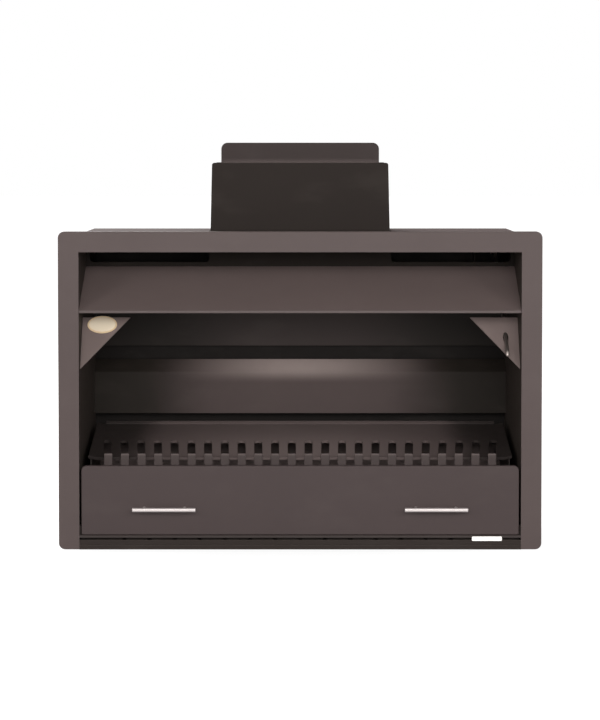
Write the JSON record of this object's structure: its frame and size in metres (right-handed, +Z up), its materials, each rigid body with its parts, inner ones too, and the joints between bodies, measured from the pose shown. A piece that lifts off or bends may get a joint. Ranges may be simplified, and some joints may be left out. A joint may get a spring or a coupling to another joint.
{
  "type": "built-in fireplace",
  "caption": "Built-in open fireplace with a flat fascia, slanted hood, flue damper worked by a push rod, pull-out ash drawer with a lift-out slotted grate, and a sliding air regulator.",
  "frame": {"origin": "centre of the bounding box in plan, at the underside of the base plate", "axes": "+Z up, front of the fireplace towards -Y, +X to the right seen from the front"},
  "size_m": [1.15, 0.481, 0.9698],
  "materials": {
    "fascia_paint": "satin heat-resistant paint",
    "firebox_paint": "satin heat-resistant paint",
    "casing_paint": "matt heat-resistant paint",
    "grate_paint": "satin heat-resistant paint",
    "damper_paint": "satin heat-resistant paint",
    "plain_steel": "drawn bar",
    "bush_brass": "turned",
    "stainless": "brushed",
    "badge_enamel": "satin, blank"
  },
  "bodies": {
    "casing": {"fascia_frame": "fascia_paint", "fascia_edge_left": "fascia_paint", "fascia_edge_right": "fascia_paint", "fascia_edge_top": "fascia_paint", "side_panel_left": "firebox_paint", "side_panel_right": "firebox_paint", "casing_top": "casing_paint", "back_panel": "casing_paint", "base_plate": "casing_paint", "wall_lugs": "casing_paint", "plinth": "casing_paint", "hearth_plate": "fascia_paint", "air_inlet_plate": "casing_paint", "regulator_keepers": "casing_paint", "drawer_runner_left": "casing_paint", "drawer_runner_right": "casing_paint", "hood": "fascia_paint", "air_outlet_panel": "firebox_paint", "firebox_roof": "firebox_paint", "fire_back": "firebox_paint", "smoke_plate": "firebox_paint", "gusset_left": "firebox_paint", "gusset_right": "firebox_paint", "badge_plate": "badge_enamel", "flue_stub": "casing_paint", "damper_bushes": "bush_brass", "shaft_bracket": "casing_paint", "damper_stop": "casing_paint"},
    "drawer": {"drawer_front": "fascia_paint", "tray_floor": "grate_paint", "tray_side_left": "grate_paint", "tray_side_right": "grate_paint", "tray_front_wall": "grate_paint", "tray_rear_wall": "grate_paint", "pull_left": "stainless", "pull_right": "stainless", "pull_screws": "plain_steel", "grate_comb": "grate_paint"},
    "lift_out_grate": {"grate": "grate_paint"},
    "damper": {"damper_shaft": "plain_steel", "damper_blade": "damper_paint", "damper_crank": "damper_paint"},
    "push_rod": {"damper_rod": "damper_paint"},
    "regulator": {"air_regulator": "casing_paint", "regulator_tab": "stainless"}
  },
  "joints": [
    {"name": "drawer_slide", "type": "slide", "parent": "casing", "child": "drawer", "axis": [0, -1, 0], "range_m": [0, 0.3]},
    {"name": "grate_lift", "type": "slide", "parent": "drawer", "child": "lift_out_grate", "axis": [0, 0, 1], "range_m": [0, 0.15]},
    {"name": "damper_turn", "type": "hinge", "parent": "casing", "child": "damper", "pos_m": [0, 0.1625, 0.735], "axis": [1, 0, 0], "range_deg": [0, 52]},
    {"name": "rod_push", "type": "slide", "parent": "casing", "child": "push_rod", "axis": [0, -0.8419, -0.5397], "range_m": [-0.0355, 0]},
    {"name": "regulator_slide", "type": "slide", "parent": "casing", "child": "regulator", "axis": [1, 0, 0], "range_m": [-0.04, 0]}
  ],
  "couplings": [
    {"joint": "rod_push", "follows": "damper_turn", "m_per_rad": -0.038641}
  ]
}
